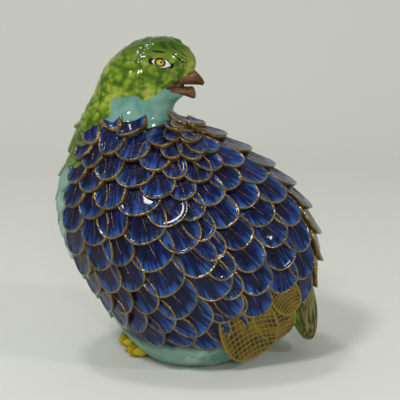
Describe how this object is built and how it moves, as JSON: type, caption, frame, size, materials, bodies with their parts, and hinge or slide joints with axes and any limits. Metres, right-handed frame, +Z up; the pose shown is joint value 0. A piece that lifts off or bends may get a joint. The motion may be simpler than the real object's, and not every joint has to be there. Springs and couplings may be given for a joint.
{
  "type": "quail figurine",
  "caption": "Glazed ceramic quail that sits and looks back over its shoulder, with a coat of overlapping relief feathers, on a flat base with a vent hole.",
  "frame": {"origin": "on the flat base, at the middle of the trunk's length and width", "axes": "+Z up, the breast towards -X and the tail towards +X, the shoulder that the bird looks over at both sides of the XZ plane"},
  "size_m": [0.1481, 0.1172, 0.1767],
  "materials": {
    "cobalt_glaze": "deep cobalt blue under a clear gloss glaze, with darker brush strokes",
    "gilding": "fired gold line on the feather rims and ribs, slightly worn",
    "celadon_glaze": "pale blue-green gloss glaze, pooling darker",
    "leaf_glaze": "mottled yellow-green gloss glaze",
    "ochre_glaze": "ochre-brown gloss glaze with crossed light lines",
    "olive_glaze": "olive gloss glaze with dark strokes along the tail",
    "yellow_glaze": "lemon-yellow gloss glaze",
    "beak_brown": "warm brown gloss glaze",
    "eye_enamel": "white, yellow and black painted enamel"
  },
  "bodies": {
    "root": {"quail_figurine": "cobalt_glaze"}
  },
  "joints": []
}
